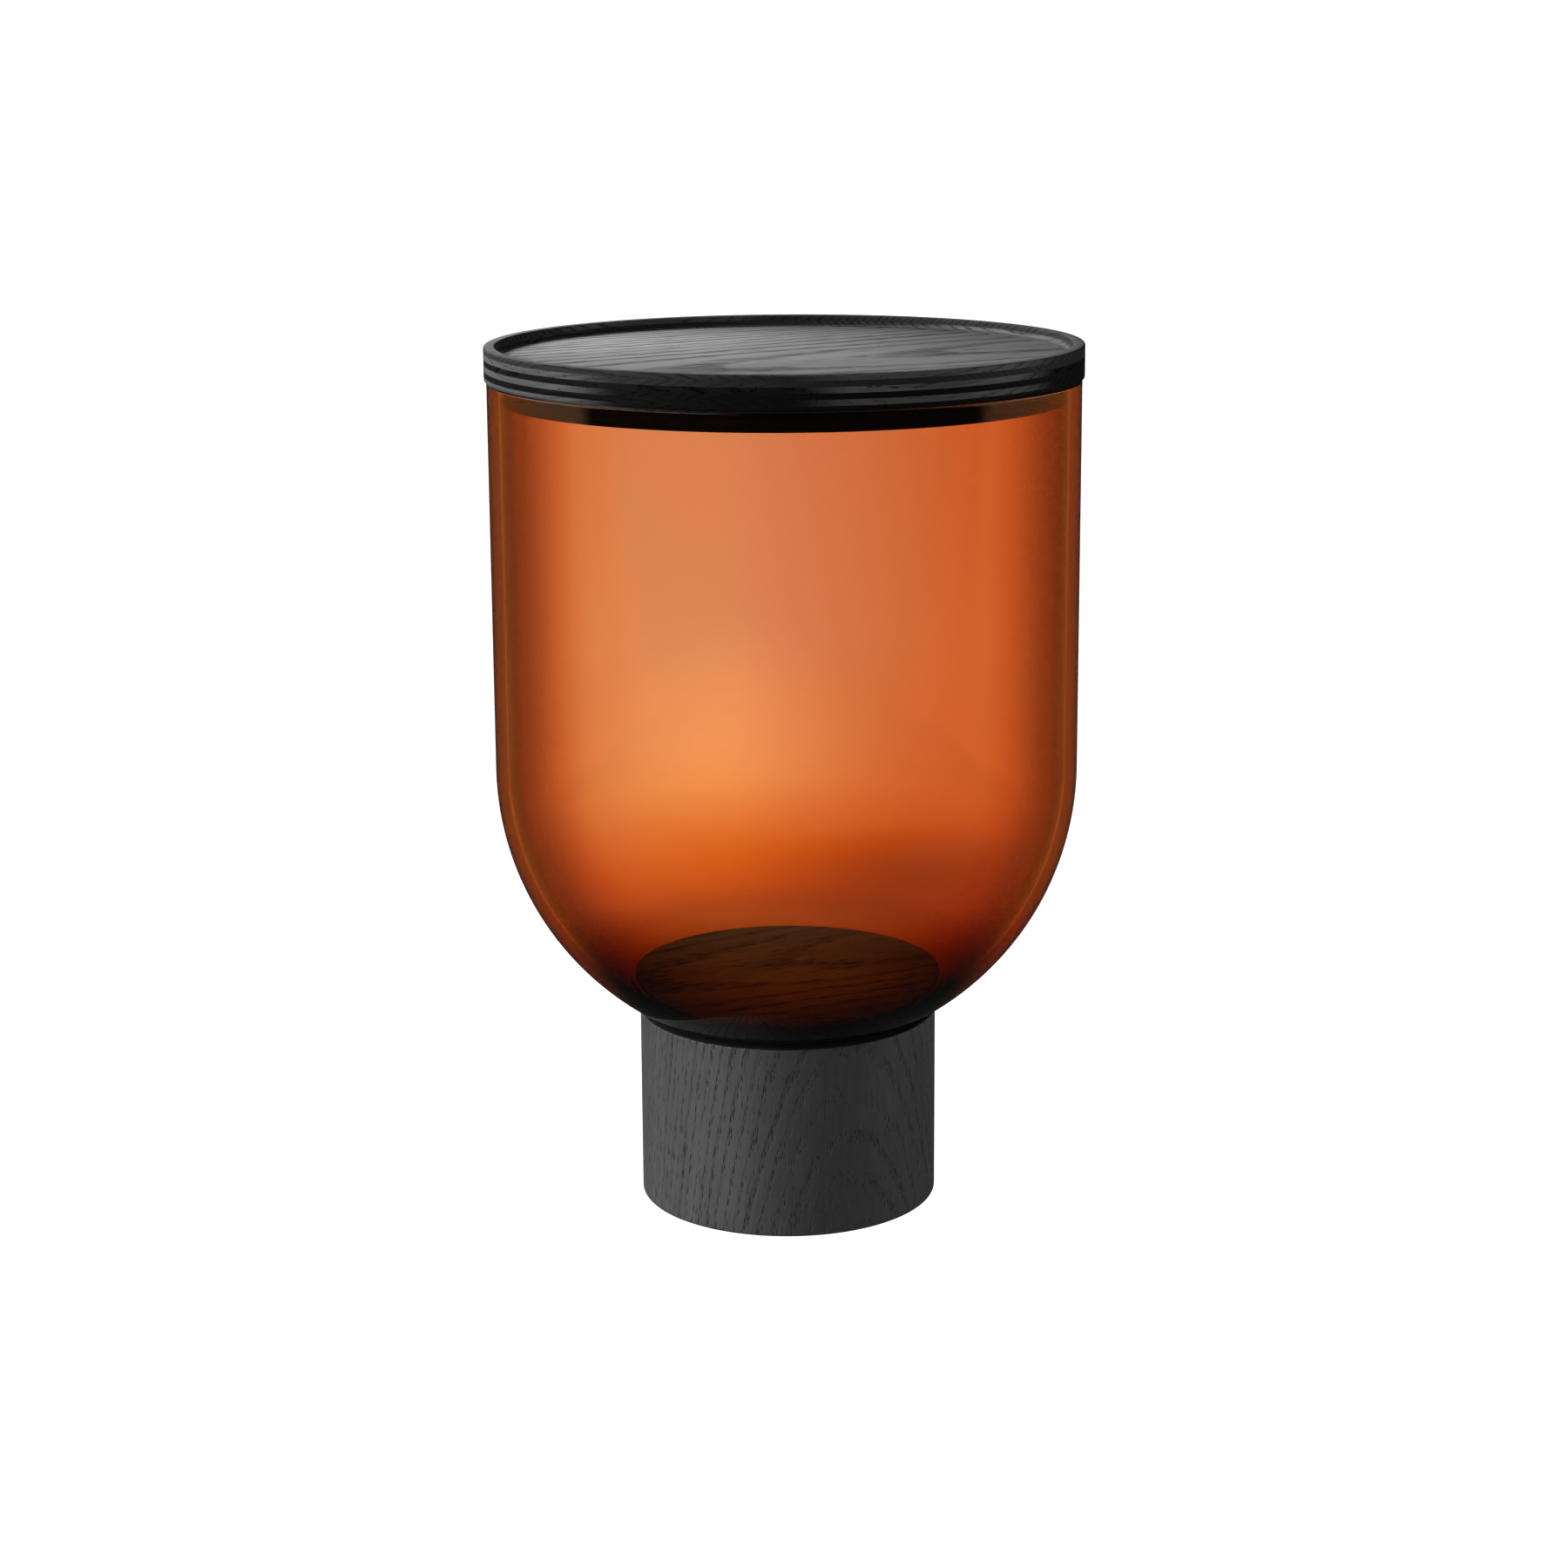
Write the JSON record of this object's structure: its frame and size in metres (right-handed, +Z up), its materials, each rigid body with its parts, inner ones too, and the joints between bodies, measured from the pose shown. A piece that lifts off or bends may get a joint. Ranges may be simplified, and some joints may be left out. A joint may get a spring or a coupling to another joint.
{
  "type": "lidded candle jar",
  "caption": "Round-bottomed amber glass candle jar on a turned black ash base, with a plywood tray lid that plugs into its mouth and lifts off.",
  "frame": {"origin": "on the jar's axis, in the plane that it stands on", "axes": "+Z up along the jar's axis, -Y towards the viewer, +X to the viewer's right"},
  "size_m": [0.1008, 0.1008, 0.1497],
  "materials": {
    "amber_glass": "clear orange-amber blown glass, smoky towards the heel",
    "black_ash": "black-stained open-pore ash, matt",
    "black_felt": "pressed felt",
    "black_rubber": "matt foam rubber, adhesive both sides",
    "clear_adhesive": "clear double-sided gel pad",
    "black_birch_long_ply": "black-stained ply seen along the grain, matt",
    "black_birch_end_ply": "black-stained ply seen on end grain, matt",
    "black_plug": "black-stained, sealed",
    "black_silicone": "satin"
  },
  "bodies": {
    "jar": {"glass_jar": "amber_glass", "base_block": "black_ash", "foot_pad": "black_felt", "seat_pad": "black_rubber", "floor_disc": "black_ash", "disc_glue_pad": "clear_adhesive"},
    "lid": {"lid_ply_1": "black_birch_long_ply", "lid_ply_2": "black_birch_end_ply", "lid_ply_3": "black_birch_long_ply", "lid_ply_4": "black_birch_end_ply", "lid_ply_5": "black_birch_long_ply", "lid_ply_6": "black_birch_end_ply", "lid_plug": "black_plug", "seal_ring": "black_silicone"}
  },
  "joints": [
    {"name": "lid_lift", "type": "slide", "parent": "jar", "child": "lid", "axis": [0, 0, 1], "range_m": [0, 0.06]}
  ]
}
